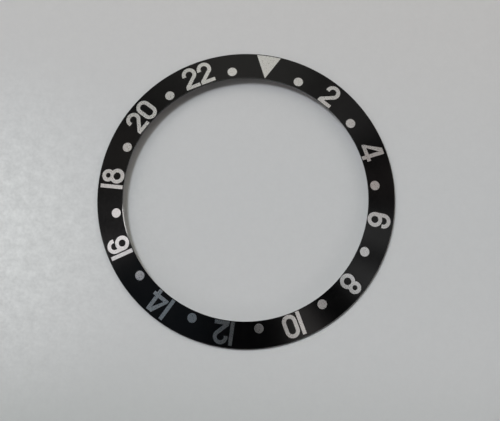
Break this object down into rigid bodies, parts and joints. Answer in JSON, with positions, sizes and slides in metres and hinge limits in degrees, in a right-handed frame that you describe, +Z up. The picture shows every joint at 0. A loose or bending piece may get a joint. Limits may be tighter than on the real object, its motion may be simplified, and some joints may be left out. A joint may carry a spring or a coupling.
{
  "type": "watch bezel insert",
  "caption": "Thin dished ring for a rotating watch bezel, with a satin black sloped face and a silver 24-hour scale of numerals, dots and a triangle.",
  "frame": {"origin": "centre of the ring, on the plane of its flat foot", "axes": "+Z up out of the printed face, +Y towards the triangle, +X towards the 6 of the scale"},
  "size_m": [0.0375, 0.0374, 0.0019],
  "materials": {
    "bare_metal": "plain rolled and punched metal",
    "black_coat": "satin black anodised",
    "silver_marks": "fine matt silver"
  },
  "bodies": {
    "root": {"base_ring": "bare_metal", "black_face": "black_coat", "triangle_24": "silver_marks", "numeral_02": "silver_marks", "numeral_04": "silver_marks", "numeral_06": "silver_marks", "numeral_08": "silver_marks", "numeral_10": "silver_marks", "numeral_12": "silver_marks", "numeral_14": "silver_marks", "numeral_16": "silver_marks", "numeral_18": "silver_marks", "numeral_20": "silver_marks", "numeral_22": "silver_marks", "dot_01": "silver_marks", "dot_03": "silver_marks", "dot_05": "silver_marks", "dot_07": "silver_marks", "dot_09": "silver_marks", "dot_11": "silver_marks", "dot_13": "silver_marks", "dot_15": "silver_marks", "dot_17": "silver_marks", "dot_19": "silver_marks", "dot_21": "silver_marks", "dot_23": "silver_marks"}
  },
  "joints": []
}
